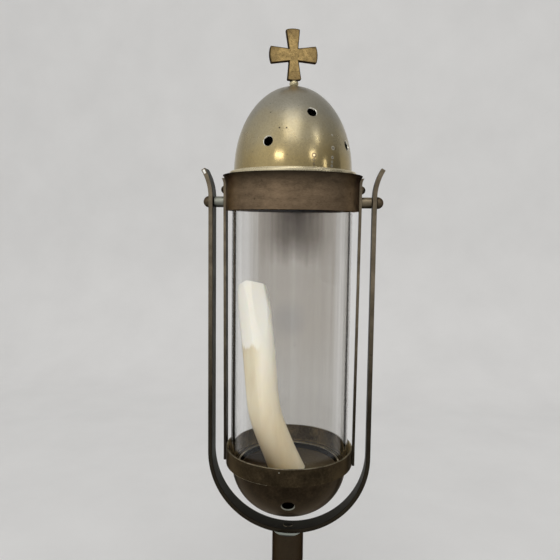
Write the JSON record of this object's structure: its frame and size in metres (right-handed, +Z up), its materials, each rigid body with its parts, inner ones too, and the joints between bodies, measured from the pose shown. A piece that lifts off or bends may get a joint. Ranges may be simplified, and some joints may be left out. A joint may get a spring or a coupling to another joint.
{
  "type": "processional lantern",
  "caption": "Church processional lantern: a glass cylinder with a candle under a pierced brass dome and cross, swinging in a yoke on a pole socket.",
  "frame": {"origin": "centre of the pole socket's mouth", "axes": "+Z up along the socket to the cross, X along the two pivots, -Y towards the viewer of the picture"},
  "size_m": [0.1508, 0.1156, 0.5427],
  "materials": {
    "dome_brass": "old polished brass with a thin grey-brown tarnish",
    "cross_brass": "worn golden brass with dark edges",
    "frame_patina": "brass with a dark brown patina",
    "yoke_patina": "flat brass bar with an almost black patina, rubbed brighter on its edges",
    "fittings_brass": "dull turned brass",
    "spacer_steel": "dull grey turned steel",
    "clear_glass": "clear glass with faint soot near its top",
    "candle_wax": "ivory wax, slightly translucent",
    "wick_cotton": "short burnt cotton wick"
  },
  "bodies": {
    "yoke_frame": {"pole_socket": "yoke_patina", "yoke": "yoke_patina", "yoke_screw": "fittings_brass"},
    "lantern_body": {"top_band": "frame_patina", "seat_ring": "frame_patina", "left_strap": "frame_patina", "right_strap": "frame_patina", "upper_rivets": "fittings_brass", "lower_rivets": "fittings_brass", "left_pivot_bolt": "fittings_brass", "right_pivot_bolt": "fittings_brass", "left_spacer": "spacer_steel", "right_spacer": "fittings_brass", "left_pivot_nut": "fittings_brass", "right_pivot_nut": "fittings_brass", "gallery_ring": "frame_patina", "bowl": "frame_patina", "bowl_screw": "fittings_brass", "pan_post": "fittings_brass", "drip_pan": "frame_patina", "pricket": "fittings_brass", "candle": "candle_wax", "wick": "wick_cotton", "glass_cylinder": "clear_glass"},
    "dome_cap": {"dome_rim": "dome_brass", "dome_spigot": "frame_patina", "dome": "dome_brass", "cross": "cross_brass", "cross_bead": "cross_brass", "cross_nut": "fittings_brass"}
  },
  "joints": [
    {"name": "lantern_swing", "type": "hinge", "parent": "yoke_frame", "child": "lantern_body", "pos_m": [0, 0, 0.4033], "axis": [1, 0, 0], "range_deg": [-90, 90]},
    {"name": "dome_lift", "type": "slide", "parent": "lantern_body", "child": "dome_cap", "axis": [0, 0, 1], "range_m": [0, 0.12]}
  ]
}
